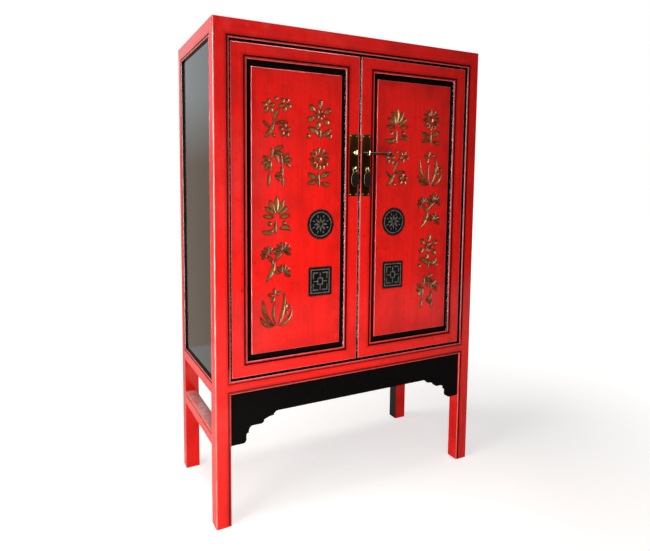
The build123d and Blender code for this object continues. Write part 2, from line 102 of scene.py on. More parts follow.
class CabinetColours(bpy.types.PropertyGroup):
    """Colours of the lacquers, the gilding, the metals and the wood."""

    red: colour("Red lacquer", "#E8140A", "Sealing-wax red of the posts, rails and doors")
    deep_red: colour("Deep red", "#A80D06", "Streaks and clouds where the red lies thick")
    # Rubbed pale edges, and also a painted highlight on every rounded arris of the red.
    rubbed_red_and_highlight: colour("Rubbed red", "#EE8478", "Edges that hands and cloths have rubbed pale")
    # Bare ground in chips, and along the front of the doors' gaps also a painted highlight.
    chipped_and_highlight: colour("Chipped lacquer", "#B7A3AC", "Bare ground in the chips on the door frames")
    # Dark ground in scratches and blots, and also painted shade in the sunk lines, down the beads'
    # far sides and in the gaps.
    undercoat_and_shade: colour("Undercoat", "#190304", "Dark ground that shows in the sunk lines and gaps")
    black: colour("Black lacquer", "#080606", "Side panels, door grounds and apron")
    dust: colour("Dust", "#E2B0AA", "Dust on the stretchers' tops")
    gold: colour("Gilding", "#94622A", "Gold leaf in the carvings")
    # Darkened gold, and also painted shade on the high slopes of the carved cuts.
    old_and_shaded_gold: colour("Old gilding", "#2E1808", "Gold leaf darkened by handling and smoke")
    seal_line: colour("Seal lines", "#5F5A53", "Thin raised lines in the two seals")
    plate: colour("Plate brass", "#281402", "Brown patina of the lock plates")
    plate_tarnish: colour("Plate tarnish", "#120A02", "Dark blots on the lock plates")
    cast_brass: colour("Cast brass", "#5E563F", "Loops and eyes, dark in their hollows")
    cast_tarnish: colour("Cast tarnish", "#1E180D", "Dark blots on the loops and eyes")
    old_brass: colour("Rubbed brass", "#8A7A4C", "Edges of the plates and pendants")
    bright_brass: colour("Worn brass", "#CFC79B", "Brass kept bright by the lock pin and by hands")
    bronze: colour("Dark bronze", "#352D29", "Pendants and lock pin")
    pendant_tarnish: colour("Pendant tarnish", "#14110D", "Dark blots on the pendants")
    pin_tarnish: colour("Pin tarnish", "#0C0A08", "Dark blots on the lock pin")
    wood: colour("Inner wood", "#6B3A22", "Stained camphor wood of the shelves and back")
    floor: colour("Floor", "#D8D5D1", "Pale studio floor")


class CabinetSizes(bpy.types.PropertyGroup):
    """Sizes in the finish. Pores and scratches are wider than real ones, so that they show."""

    grain_width: length("Grain width", 0.007, "Distance across the brushed streaks")
    grain_length: length("Grain length", 0.22, "Length of the brushed streaks")
    cloud: length("Cloud size", 0.09, "Size of the cloudy patches in the lacquer")
    mottle: length("Mottle size", 0.016, "Size of the small dark blots in the lacquer")
    scratch: length("Scratch width", 0.0024, "Width of the scratches, wider than real ones")
    # The dark line round each carved stroke is painted shade.
    painted_shade_line: length("Soot line", 0.006, "Width of the dark line round each carved stroke")
    chip: length("Chip size", 0.007, "Spacing of the chips on the door frames")
    pore: length("Pore size", 0.0016, "Width of the wood's pores, wider than real ones")
    # The dark paint in from a door's edge is painted shade in the gap.
    painted_gap_shade: length("Gap paint", 0.0035, "How far the dark ground reaches in from a door's edge")


# ---- shader nodes ----


def node(tree, kind, inputs=(), **settings):
    """Adds a shader node. Inputs are values, sockets or other nodes, in order or by socket."""
    made = tree.nodes.new("ShaderNode" + kind)
    for name, value in settings.items():
        setattr(made, name, value)
    for key, value in inputs.items() if isinstance(inputs, dict) else enumerate(inputs):
        if isinstance(value, bpy.types.Node):
            value = next(socket for socket in value.outputs if socket.enabled)
        if isinstance(value, bpy.types.NodeSocket):
            tree.links.new(value, made.inputs[key])
        else:
            made.inputs[key].default_value = value
    return made


def new_material(name):
    """A material with an empty tree, and the places and normals on its piece."""
    made = bpy.data.materials.new(name)
    made.use_nodes = True
    tree = made.node_tree
    tree.nodes.clear()
    return made, tree, node(tree, "TexCoord").outputs


def surface(tree, inputs):
    """The shader that meets the light."""
    shader = node(tree, "BsdfPrincipled", inputs)
    node(tree, "OutputMaterial", {"Surface": shader})


def streaks(tree, axis, width, along, detail=3.0):
    """Noise drawn out along an axis: width across it and along its length, in metres."""
    scale = [1 / width] * 3
    scale["XYZ".index(axis)] = 1 / along
    spots = node(tree, "TexCoord").outputs["Object"]
    mapped = node(tree, "Mapping", {"Vector": spots, "Scale": scale})
    return node(tree, "TexNoise", {"Vector": mapped, "Scale": 1.0, "Detail": detail})


def mixed(tree, layers, base):
    """Paints layers of (mask, colour) over a base colour, in order."""
    for mask, paint in layers:
        base = node(tree, "Mix", {0: mask, 6: base, 7: paint}, data_type="RGBA")
    return base


def away_from(tree, value, middle=0.0):
    """How far a value is from another, either way."""
    difference = node(tree, "Math", (value, middle), operation="SUBTRACT")
    return node(tree, "Math", (difference,), operation="ABSOLUTE")


def outside(tree, across, up, half, low, high):
    """How far a place lies outside an upright opening; below 0 inside it."""
    beside = node(tree, "Math", (across, half), operation="SUBTRACT")
    beyond = away_from(tree, up, (low + high) / 2)
    above = node(tree, "Math", (beyond, (high - low) / 2), operation="SUBTRACT")
    return node(tree, "Math", (beside, above), operation="MAXIMUM")


def within(tree, value, low, high):
    """1 where a value lies between two others."""
    return node(tree, "Math", (value, (low + high) / 2, (high - low) / 2), operation="COMPARE")


def both(tree, first, *others):
    """1 where all the masks are 1."""
    for other in others:
        first = node(tree, "Math", (first, other), operation="MULTIPLY")
    return first


def either(tree, first, *others):
    """1 where any of the masks is 1."""
    for other in others:
        first = node(tree, "Math", (first, other), operation="MAXIMUM")
    return first


# A mask's four numbers are the values it starts and ends at, such as those of a noise, and its
# strength at both. Where there are only two, the strengths are 0 and 1 or come from elsewhere.
TURNED = 0.985, 0.88, 0.0, 1.0
PORE_STRETCH = 30
BRUSH_WIDTH = 0.6  # of the brushed streaks
BUMP_STRENGTH = 0.5


def rounded_edges(tree, spots):
    """1 where the piece's own shape turns from one flat face to the next."""
    turned = node(tree, "VectorMath", (spots["Normal"],), operation="ABSOLUTE")
    parts = node(tree, "SeparateXYZ", [turned]).outputs
    return node(tree, "MapRange", (either(tree, *parts), *TURNED))


def grain_bump(tree, axis, sizes, depth):
    """Pores and brush lines that catch the light."""
    pores = streaks(tree, axis, sizes.pore, sizes.pore * PORE_STRETCH)
    brush = streaks(tree, axis, sizes.grain_width * BRUSH_WIDTH, sizes.grain_length)
    height = node(tree, "Math", (pores, brush), operation="ADD")
    return node(tree, "Bump", {"Strength": BUMP_STRENGTH, "Distance": depth, "Height": height})


# ---- where the lines and gaps are painted dark: dirt and painted shade ----

# A sunk line reaches in and out from its bead's width, and the dirt fades from the line's middle.
LINE_IN = 2.8 * MM
LINE_OUT = 3.7 * MM
LINE_MIDDLE = 1.5 * MM
LINE_DEPTH = 4.5 * MM
DIRT_DEPTH = 6 * MM
DIRT = 2 * MM, 14 * MM, 0.35, 0.0
# A bead's far side, painted dark as shade: how far it reaches outside its opening, and its depths.
WALL_OUT = 1.3 * MM
WALL_DEPTHS = 0.6 * MM, 22 * MM
# Faces behind the front, painted dark as shade: the case's rebate, a door's outer faces, and their
# arrises that chip.
REBATE_DEPTHS = 4 * MM, 45 * MM
FACE_DEPTHS = 1 * MM, 60 * MM
ARRIS_DEPTHS = 1 * MM, 6 * MM
# Some lines are painted fainter: the doors' low down, the legs', the sides' and the stretchers'.
KEPT = RAIL_HIGH.z + 10 * MM, RAIL_HIGH.z + 60 * MM, 0.6, 1.0
LEG_LINES = 0.8
SIDE_LINES = 0.65
STRETCHER_LINES = 0.35
# The black step round a side panel: how far it reaches inwards and outwards from the panel's face.
STEP = 4 * MM, 6 * MM


def sunk_line(tree, away, depth, bead):
    """1 in the line sunk beside a bead, painted dark as dirt and as shade, and less in the dirt
    round it, from how far outside its opening and how deep a place is."""
    width = within(tree, away, bead - LINE_IN, bead + LINE_OUT)
    line = both(tree, width, within(tree, depth, -SLACK, LINE_DEPTH))
    dirt = node(tree, "MapRange", (away_from(tree, away, bead + LINE_MIDDLE), *DIRT))
    return either(tree, line, both(tree, dirt, within(tree, depth, -SLACK, DIRT_DEPTH)))


def painted_shade_wall(tree, away, depth):
    """1 down a bead's far side, which faces into its opening; it is painted dark as shade."""
    return both(tree, within(tree, away, -FAR, WALL_OUT), within(tree, depth, *WALL_DEPTHS))


def case_lines(tree, place):
    """Where the case is painted dark: the lines beside its beads, as dirt and shade, fainter at the
    doors' foot and on the legs, sides and stretchers, and apart from them painted shade down the
    beads' far sides and on the faces that the doors close against."""
    across = away_from(tree, place["X"])
    along = away_from(tree, place["Y"])
    front_depth = node(tree, "Math", (place["Y"], CASE_LOW.y), operation="SUBTRACT")
    side_depth = node(tree, "Math", (-CASE_LOW.x, across), operation="SUBTRACT")
    doors = outside(tree, across, place["Z"], -CASE_HIGH.x, RAIL_HIGH.z, TOP_RAIL)
    legs = outside(tree, across, place["Z"], -CASE_HIGH.x, -RAIL_LOW.z, RAIL_LOW.z)
    sides = outside(tree, along, place["Z"], SIDE_OPENING, RAIL_HIGH.z, SIDE_RAIL)
    below = node(tree, "Math", (STRETCHER_TOP, place["Z"]), operation="SUBTRACT")
    stretcher = both(
        tree,
        sunk_line(tree, below, side_depth, CASE_BEAD),
        within(tree, along, 0.0, SIDE_OPENING),
        STRETCHER_LINES,
    )
    kept = node(tree, "MapRange", (place["Z"], *KEPT))
    lines = either(
        tree,
        both(tree, sunk_line(tree, doors, front_depth, CASE_BEAD), kept),
        both(tree, sunk_line(tree, legs, front_depth, CASE_BEAD), LEG_LINES),
        both(tree, sunk_line(tree, sides, side_depth, CASE_BEAD), SIDE_LINES),
        stretcher,
    )
    # Painted shade down the beads' far sides and on the faces the doors close against.
    painted_shade_walls = painted_shade_wall(tree, doors, front_depth), painted_shade_wall(tree, sides, side_depth)
    rebate = both(tree, within(tree, doors, -FAR, SKIN), within(tree, front_depth, *REBATE_DEPTHS))
    return lines, either(tree, *painted_shade_walls, rebate)


def black_faces(tree, place):
    """1 on the steps from the case to its black side panels, and on the rear legs' inner faces."""
    across = away_from(tree, place["X"])
    along = away_from(tree, place["Y"])
    sides = outside(tree, along, place["Z"], SIDE_OPENING, RAIL_HIGH.z, SIDE_RAIL)
    inwards, outwards = STEP
    step = both(
        tree,
        within(tree, sides, -FAR, SKIN),
        within(tree, across, -SIDE_PANEL - inwards, -SIDE_PANEL + outwards),
    )
    rear = both(
        tree,
        within(tree, place["Y"], SIDE_OPENING - SKIN, FAR),
        within(tree, across, 0.0, -CASE_HIGH.x + SKIN),
        within(tree, place["Z"], -FAR, RAIL_LOW.z),
    )
    return either(tree, step, rear)


def door_lines(tree, place, sizes):
    """Where a door's frame is painted dark: the line beside the bead, as dirt and shade, and apart
    from it painted shade down the bead's far side and on the outer faces behind their rubbed
    arrises. Last comes where such faces are chipped, which near the front of the gap is also a
    painted highlight."""
    across = away_from(tree, place["X"])
    depth = node(tree, "Math", (place["Y"], STILE_LOW.y), operation="SUBTRACT")
    light = -STILE_HIGH.x, -INNER_LOW.x
    middle = away_from(tree, across, sum(light) / 2)
    board = outside(tree, middle, place["Z"], (light[0] - light[1]) / 2, *DOOR_RAILS)
    ends = -STILE_LOW.x, -INNER_HIGH.x
    centre = away_from(tree, across, sum(ends) / 2)
    edge = outside(tree, centre, place["Z"], (ends[0] - ends[1]) / 2, *DOOR_ENDS)
    wall = painted_shade_wall(tree, board, depth)
    gap = within(tree, edge, -sizes.painted_gap_shade, FAR)
    faces = either(tree, wall, both(tree, gap, within(tree, depth, *FACE_DEPTHS)))
    # Chips, which near the front of the gap also paint a highlight.
    chipped_and_highlight = either(tree, wall, both(tree, gap, within(tree, depth, *ARRIS_DEPTHS)))
    return sunk_line(tree, board, depth, DOOR_BEAD), faces, chipped_and_highlight


# ---- finishes ----

LACQUER_IOR = 1.5
# The red lacquer's patterns: how much broader and longer some are, their masks, and the polish.
BROADER, LONGER = 5, 2
CLOUD_STRETCH = 1.7
SCRATCH_STRETCH = 14
FINE_STREAKS = 0.5, 0.75, 0.0, 0.3
BROAD_STREAKS = 0.5, 0.75, 0.0, 0.25
CLOUDS = 0.48, 0.7, 0.0, 0.4
BLOTS = 0.56, 0.8, 0.0, 0.45
DARK_BLOTS = 0.66, 0.85, 0.0, 0.5
SCRATCHES = 0.72, 0.8, 0.0, 0.5
RED_PATCH = 45 * MM
RED_ROUGHNESS = 0.3, 0.7, 0.1, 0.22
RED_GLOSS = 0.35
# The dark in the lines, dirt and painted shade, is made matt.
LINE_GLOSS = 0.0, 1.0, RED_GLOSS, 0.04  # the dirt in the lines is matt
RED_GRAIN = 0.12 * MM
# Its wear: rubbed lengths of edges, which also paint a highlight, dust on faces that look up, and
# chips on upright faces, which near the front of the doors' gaps also paint a highlight.
WEAR_PATCH = 20 * MM, 50 * MM
WORN_AND_HIGHLIT_EDGES = 0.3, 0.7, 0.4, 1.0
DUST_PATCH = 22 * MM
DUST = 0.3, 0.7, 0.5, 1.0
UPWARD = 0.9, 0.99
CHIPS = 0.54, 0.62, 0.0, 0.55
SIDEWAYS = 0.6, 0.9


def brushed_red(tree, axis, spots, colours, sizes):
    """Red lacquer drawn out by the brush, cloudy where it lies thick, and blotted and scratched by
    age."""
    fine = streaks(tree, axis, sizes.grain_width, sizes.grain_length)
    broad = streaks(tree, axis, sizes.grain_width * BROADER, sizes.grain_length * LONGER)
    clouds = streaks(tree, axis, sizes.cloud, sizes.cloud * CLOUD_STRETCH)
    blots = node(
        tree, "TexNoise", {"Vector": spots["Object"], "Scale": 1 / sizes.mottle, "Detail": 5.0}
    )
    scratches = streaks(tree, axis, sizes.scratch, sizes.scratch * SCRATCH_STRETCH, 1.0)
    patterns = (
        (fine, FINE_STREAKS, colours.deep_red),
        (broad, BROAD_STREAKS, colours.deep_red),
        (clouds, CLOUDS, colours.deep_red),
        (blots, BLOTS, colours.deep_red),
        (blots, DARK_BLOTS, colours.undercoat_and_shade),
        (scratches, SCRATCHES, colours.undercoat_and_shade),
    )
    layers = [(node(tree, "MapRange", (noise, *mask)), paint) for noise, mask, paint in patterns]
    return mixed(tree, layers, colours.red)


def red_polish(tree, spots):
    """How rough the polished red is, which varies in patches."""
    patches = node(
        tree, "TexNoise", {"Vector": spots["Object"], "Scale": 1 / RED_PATCH, "Detail": 5.0}
    )
    return node(tree, "MapRange", (patches, *RED_ROUGHNESS))


def red_lacquer(name, axis, door=False, dusty=False):
    """Oil-based red lacquer, brushed over a dark ground and polished by hand: glossy, streaky and
    cloudy, with dirt and painted shade in its sunk lines and gaps, and pale along its edges, where
    it is rubbed and where a highlight is also painted."""
    colours, sizes = bpy.context.scene.cabinet_colours, bpy.context.scene.cabinet_sizes
    made, tree, spots = new_material(name)
    place = node(tree, "SeparateXYZ", [spots["Object"]]).outputs
    wear_and_highlight = node(tree, "MapRange", (streaks(tree, "Z", *WEAR_PATCH), *WORN_AND_HIGHLIT_EDGES))
    # Pale rubbed edges, which are also a painted highlight on every rounded arris.
    layers = [(both(tree, rounded_edges(tree, spots), wear_and_highlight), colours.rubbed_red_and_highlight)]
    if dusty:
        normal = node(tree, "SeparateXYZ", [spots["Normal"]]).outputs
        upward = node(tree, "MapRange", (normal["Z"], *UPWARD))
        patches = node(
            tree, "TexNoise", {"Vector": spots["Object"], "Scale": 1 / DUST_PATCH, "Detail": 4.0}
        )
        dust = both(tree, upward, node(tree, "MapRange", (patches, *DUST)))
        layers.append((dust, colours.dust))
    if door:
        normal = node(tree, "SeparateXYZ", [spots["Normal"]]).outputs
        lines, painted_shade_walls, chipped_and_highlight = door_lines(tree, place, sizes)
        flakes = node(
            tree, "TexNoise", {"Vector": spots["Object"], "Scale": 1 / sizes.chip, "Detail": 3.0}
        )
        upright = node(tree, "MapRange", (away_from(tree, normal["X"]), *SIDEWAYS))
        chips = both(tree, chipped_and_highlight, upright, node(tree, "MapRange", (flakes, *CHIPS)))
        layers += [(lines, colours.undercoat_and_shade), (painted_shade_walls, colours.undercoat_and_shade), (chips, colours.chipped_and_highlight)]
    else:
        lines, painted_shade_walls = case_lines(tree, place)
        layers += [(lines, colours.undercoat_and_shade), (painted_shade_walls, colours.undercoat_and_shade)]
        layers.append((black_faces(tree, place), colours.black))
    surface(
        tree,
        {
            "Base Color": mixed(tree, layers, brushed_red(tree, axis, spots, colours, sizes)),
            "Roughness": red_polish(tree, spots),
            "IOR": LACQUER_IOR,
            "Specular IOR Level": node(tree, "MapRange", (lines, *LINE_GLOSS)),
            "Normal": grain_bump(tree, axis, sizes, RED_GRAIN),
        },
    )
    return made


# Black lacquer: the least and most roughness and the gloss of its two skins, and its patterns.
POLISHED = 0.04, 0.12, 0.5
SMOKY = 0.2, 0.32, 0.03
HAND_MARK = 110 * MM
MARKS = 0.35, 0.7
SCUFF_LENGTH = 0.5  # of the brushed streaks
THIN_PLACES = 0.58, 0.8, 0.0, 0.3
BLACK_GRAIN = 0.05 * MM


def black_lacquer(name, axis, low, high, gloss):
    """Black lacquer over a ground coat: a deep gloss with faint waves and hand marks where it was
    polished, and a dull smoky skin on the grounds and the apron."""
    colours, sizes = bpy.context.scene.cabinet_colours, bpy.context.scene.cabinet_sizes
    made, tree, spots = new_material(name)
    marks = node(
        tree, "TexNoise", {"Vector": spots["Object"], "Scale": 1 / HAND_MARK, "Detail": 6.0}
    )
    scuffs = streaks(tree, axis, sizes.grain_width, sizes.grain_length * SCUFF_LENGTH)
    thin = node(tree, "MapRange", (scuffs, *THIN_PLACES))
    surface(
        tree,
        {
            "Base Color": mixed(tree, [(thin, colours.undercoat_and_shade)], colours.black),
            "Roughness": node(tree, "MapRange", (marks, *MARKS, low, high)),
            "IOR": LACQUER_IOR,
            "Specular IOR Level": gloss,
            "Normal": grain_bump(tree, axis, sizes, BLACK_GRAIN),
        },
    )
    return made


# The seals' middles, the same on both doors.
SEAL_COLUMN = 170.25 * MM
ROUND_SEAL_LEVEL = 1091 * MM
ROUND_SEAL_RADIUS = 54 * MM
SQUARE_SEAL_LEVEL = 873 * MM
SQUARE_SEAL_HALF = 48 * MM, 53 * MM
# The carvings: the depths that count as cut, the painted shade line round them, the wear of their
# gold, and the painted shade on the high slopes of the cuts.
CUT = 0.1 * MM, 0.3 * MM
PAINTED_SHADE_LINE = 0.97, 0.78, 0.0, 0.95
WORN_PATCH = 12 * MM
WORN_GOLD = 0.42, 0.7, 0.0, 0.8
SHADED_SLOPES = 1.8 * MM, 3.4 * MM, 0.95, 0.0
LEAF_METAL = 0.5
LEAF_ROUGHER = 0.25
# The red round them: its faintly rubbed edge, also a painted highlight, and its darker margin in
# clouds.
FIELD_EDGES = 0.0, 1.0, 0.35, 0.0
MARGIN = -80 * MM, 5 * MM, 0.0, 0.6
MARGIN_CLOUD = 70 * MM
MARGIN_CLOUDS = 0.3, 0.6


def within_seals(tree, place):
    """1 inside the round and the square seal."""
    across = away_from(tree, away_from(tree, place["X"]), SEAL_COLUMN)
    up = node(tree, "Math", (place["Z"], ROUND_SEAL_LEVEL), operation="SUBTRACT")
    away = node(tree, "CombineXYZ", (across, up))
    radius = node(tree, "VectorMath", (away,), operation="LENGTH").outputs["Value"]
    wide, tall = SQUARE_SEAL_HALF
    low, high = SQUARE_SEAL_LEVEL - tall, SQUARE_SEAL_LEVEL + tall
    square = outside(tree, across, place["Z"], wide, low, high)
    return either(
        tree,
        within(tree, radius, -FAR, ROUND_SEAL_RADIUS + SKIN),
        within(tree, square, -FAR, SKIN),
    )


def carved_field(name):
    """The raised field: brushed red lacquer, worn gold leaf in the carvings with a painted shade
    line round them and painted shade on their high slopes, and seals in black lacquer whose raised
    lines are rubbed to a dull grey gold."""
    colours, sizes = bpy.context.scene.cabinet_colours, bpy.context.scene.cabinet_sizes
    made, tree, spots = new_material(name)
    place = node(tree, "SeparateXYZ", [spots["Object"]]).outputs
    depth = node(tree, "Math", (place["Y"], FIELD_LOW.y), operation="SUBTRACT")
    middle, half = (FIELD_LOW + FIELD_HIGH) / 2, (FIELD_HIGH - FIELD_LOW) / 2
    centred = away_from(tree, away_from(tree, place["X"]), -middle.x)
    low, high = FIELD_LOW.z + FIELD_RIM, FIELD_HIGH.z - FIELD_RIM
    rim = outside(tree, centred, place["Z"], half.x - FIELD_RIM, low, high)
    inner = within(tree, rim, -FAR, 0.0)
    cut = node(tree, "MapRange", (depth, *CUT))
    seals = within_seals(tree, place)
    leaf = both(tree, cut, inner, node(tree, "Math", (1.0, seals), operation="SUBTRACT"))
    # The field's rubbed edge, which is also a faint painted highlight.
    edges = both(tree, rounded_edges(tree, spots), node(tree, "MapRange", (inner, *FIELD_EDGES)))
    clouds = node(
        tree, "TexNoise", {"Vector": spots["Object"], "Scale": 1 / MARGIN_CLOUD, "Detail": 4.0}
    )
    margin = both(
        tree,
        node(tree, "MapRange", (rim, *MARGIN)),
        node(tree, "MapRange", (clouds, *MARGIN_CLOUDS)),
    )
    # Painted shade: a dark line round the brinks of the carved cuts, found by occlusion.
    brinks = node(
        tree,
        "AmbientOcclusion",
        {"Distance": sizes.painted_shade_line},
        samples=8,
        inside=True,
        only_local=True,
    )
    painted_shade_line = node(tree, "MapRange", (brinks.outputs["AO"], *PAINTED_SHADE_LINE))
    patches = node(
        tree, "TexNoise", {"Vector": spots["Object"], "Scale": 1 / WORN_PATCH, "Detail": 5.0}
    )
    worn = node(tree, "MapRange", (patches, *WORN_GOLD))
    # Painted shade: the high slopes of the cuts are darkened.
    shaded_slopes = node(tree, "MapRange", (depth, *SHADED_SLOPES))
    layers = (
        (margin, colours.deep_red),
        (edges, colours.rubbed_red_and_highlight),
        (both(tree, inner, painted_shade_line), colours.undercoat_and_shade),
        (leaf, colours.gold),
        (both(tree, leaf, worn), colours.old_and_shaded_gold),
        (both(tree, leaf, shaded_slopes), colours.old_and_shaded_gold),
        (seals, colours.seal_line),
        (both(tree, seals, worn), colours.black),
        (both(tree, seals, cut), colours.black),
    )
    roughness = (leaf, LEAF_ROUGHER, red_polish(tree, spots))
    surface(
        tree,
        {
            "Base Color": mixed(tree, layers, brushed_red(tree, "Z", spots, colours, sizes)),
            "Roughness": node(tree, "Math", roughness, operation="MULTIPLY_ADD"),
            "Metallic": node(tree, "Math", (leaf, LEAF_METAL), operation="MULTIPLY"),
            "IOR": LACQUER_IOR,
            "Specular IOR Level": RED_GLOSS,
            "Normal": grain_bump(tree, "Z", sizes, RED_GRAIN),
        },
    )
    return made


# Stained wood: the widths and lengths of its rings and fibres, their masks, and its sheen.
RING = 18 * MM, 0.7
FIBRE = 3 * MM, 0.12
RINGS = 0.35, 0.7, 0.0, 0.75
FIBRES = 0.5, 0.8, 0.0, 0.6
DARK_WOOD = 0.35  # of the wood's colour
WOOD_ROUGHNESS = 0.3, 0.7, 0.45, 0.65
WOOD_GRAIN = 0.25 * MM


def stained_wood(name, axis):
    """Planed camphor wood with a thin brown stain: open grain and a low sheen."""
    colours, sizes = bpy.context.scene.cabinet_colours, bpy.context.scene.cabinet_sizes
    made, tree, _ = new_material(name)
    fibres = streaks(tree, axis, *FIBRE)
    dark = (*(part * DARK_WOOD for part in colours.wood[:3]), 1.0)
    layers = (
        (node(tree, "MapRange", (streaks(tree, axis, *RING), *RINGS)), dark),
        (node(tree, "MapRange", (fibres, *FIBRES)), dark),
    )
    surface(
        tree,
        {
            "Base Color": mixed(tree, layers, colours.wood),
            "Roughness": node(tree, "MapRange", (fibres, *WOOD_ROUGHNESS)),
            "Normal": grain_bump(tree, axis, sizes, WOOD_GRAIN),
        },
    )
    return made


# Metals: the least and most roughness of each, the size of the patina's blots and of the file's
# marks, and their masks.
SHEET_BRASS = 0.35, 0.55
CAST_BRASS = 0.18, 0.35
PENDANT_BRONZE = 0.28, 0.45
PIN_BRONZE = 0.3, 0.45
PATINA_BLOT = 8 * MM
PATINA = 0.35, 0.7
PATINA_STRENGTH = 0.0, 0.5
RUBBED = 0.35, 0.6, 0.8, 0.2
FILE_MARK = 1.2 * MM, 30 * MM
FILED_SHARE = 0.4
METAL_BUMP = {"Strength": 0.4, "Distance": 0.2 * MM}


def patinated_metal(name, base, tarnish, worn, roughness):
    """Sheet or cast brass and bronze under a mottled patina, bright along its rubbed edges, with
    the fine lines of its filing."""
    made, tree, spots = new_material(name)
    blots = node(
        tree, "TexNoise", {"Vector": spots["Object"], "Scale": 1 / PATINA_BLOT, "Detail": 6.0}
    )
    filed = streaks(tree, "Z", *FILE_MARK)
    height = node(tree, "Math", (filed, FILED_SHARE, blots), operation="MULTIPLY_ADD")
    rubbed = node(tree, "MapRange", (blots, *RUBBED))
    layers = (
        (node(tree, "MapRange", (blots, *PATINA, *PATINA_STRENGTH)), tarnish),
        (both(tree, rounded_edges(tree, spots), rubbed), worn),
    )
    surface(
        tree,
        {
            "Base Color": mixed(tree, layers, base),
            "Metallic": 1.0,
            "Roughness": node(tree, "MapRange", (blots, *PATINA, *roughness)),
            "Normal": node(tree, "Bump", {**METAL_BUMP, "Height": height}),
        },
    )
    return made


def finish(material, *names):
    """Gives CAD nodes their material."""
    for name in names:
        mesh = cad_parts[name].data
        mesh.materials.clear()
        mesh.materials.append(material)


# ---- modelling ----

SHARP = radians(40)
SMOOTH = radians(35)
FACING = 0.9  # how far a face's normal points one way when it is chosen


def deselect():
    """Nothing selected, in object mode."""
    if bpy.context.object and bpy.context.object.mode != "OBJECT":
        bpy.ops.object.mode_set(mode="OBJECT")
    bpy.ops.object.select_all(action="DESELECT")


def started(name):
    """Names the primitive that was just added."""
    made = bpy.context.active_object
    made.name = name
    made.data.name = name
    return made


def choose(test):
    """In edit mode, selects the faces whose normal passes a test."""
    mesh = bmesh.from_edit_mesh(bpy.context.object.data)
    for face in mesh.faces:
        face.select = test(face.normal)
    mesh.select_flush_mode()
    bmesh.update_edit_mesh(bpy.context.object.data)


def step_in(thickness, push):
    """Insets the chosen faces, and pushes them along Y."""
    bpy.ops.mesh.inset(thickness=thickness)
    bpy.ops.transform.translate(value=(0.0, push, 0.0))


def bevelled(piece, width, segments=3):
    """Rounds a piece's sharp edges."""
    modifier = piece.modifiers.new("edges", "BEVEL")
    modifier.width = width
    modifier.segments = segments
    modifier.limit_method = "ANGLE"
    modifier.angle_limit = SHARP
    bpy.context.view_layer.objects.active = piece
    bpy.ops.object.modifier_apply(modifier=modifier.name)


def settle(piece, material, slot, body, *nodes):
    """Fixes a finished piece in place: its material, its body and the nodes it stands for."""
    deselect()
    piece.select_set(True)
    bpy.context.view_layer.objects.active = piece
    bpy.ops.object.transform_apply(location=True, rotation=True, scale=True)
    bpy.ops.object.shade_smooth_by_angle(angle=SMOOTH)
    piece.data.materials.clear()
    piece.data.materials.append(material)
    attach(piece, body)
    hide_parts(*nodes)
    piece.select_set(False)


def joined(pieces):
    """Several pieces as one; the first gives its name."""
    deselect()
    for piece in pieces:
        piece.select_set(True)
    bpy.context.view_layer.objects.active = pieces[0]
    bpy.ops.object.join()
    return bpy.context.active_object


# ---- operators ----


# Each lamp's name, place, the point it faces, size and watts. The soft lamps light the paint, and
# the glints show only in polished edges and metal.
SOFT_LAMPS = (
    ("top_lamp", (-0.9, 0.2, 3.6), (-0.3, 0.0, 0.8), (1.4, 1.4), 87.0),
    ("low_window", (-2.4, -1.1, 0.3), (-0.3, -0.24, 0.3), (0.7, 0.7), 40.0),
    ("side_window", (-3.2, -0.3, 1.4), (-0.5, 0.0, 0.9), (0.9, 0.9), 10.0),
    ("low_front_lamp", (-0.3, -1.1, 0.3), (-0.3, -0.24, 0.3), (0.7, 0.7), 5.3),
    ("front_lamp", (-0.3, -1.1, 1.2), (-0.3, -0.24, 1.2), (0.7, 0.7), 4.6),
)
GLINT_LAMPS = (
    ("side_glint", (-1.9, -0.68, 1.1), (-0.3, -0.24, 1.1), (0.46, 2.2), 200.0),
    ("top_glint", (-0.2, -1.1, 2.8), (0.0, -0.24, 1.0), (2.4, 0.8), 120.0),
)
# Each card's name, place, size, low and high shade, and strength.
CARDS = (
    ("grey_card", (2.0, -3.2, 1.7), (4.6, 3.4), ("#FFFFFF", "#FFFFFF"), 0.2),
    ("dark_card", (4.0, -3.15, 1.7), (0.9, 3.4), ("#000000", "#000000"), 0.0),
    ("brown_card", (-1.6, 1.75, 1.45), (3.0, 2.9), ("#C7B4A4", "#F6FCFE"), 1.05),
)
CARD_BLEND = -0.02, 0.155  # up a card from its middle, as a share of its height
WHITE = (1.0, 1.0, 1.0, 1.0)
FILL = 0.17, 1.0  # the surroundings' strength as a fill, and where they are seen
FLOOR_SIZE = 40.0
FLOOR_ROUGHNESS = 0.9
FLOOR_GLOW = 1.0, 4.0, 0.55, 1.0  # by distance from the cabinet
FLOOR_DIMMED = 2.5, 8.0, 0.55, 0.0  # how much less glossy surfaces mirror
CAMERA_PLACE = (-1.095, -1.837, 1.239)
CAMERA_TILT = radians(90 - 4.6)
CAMERA_TURN = radians(-23.91)


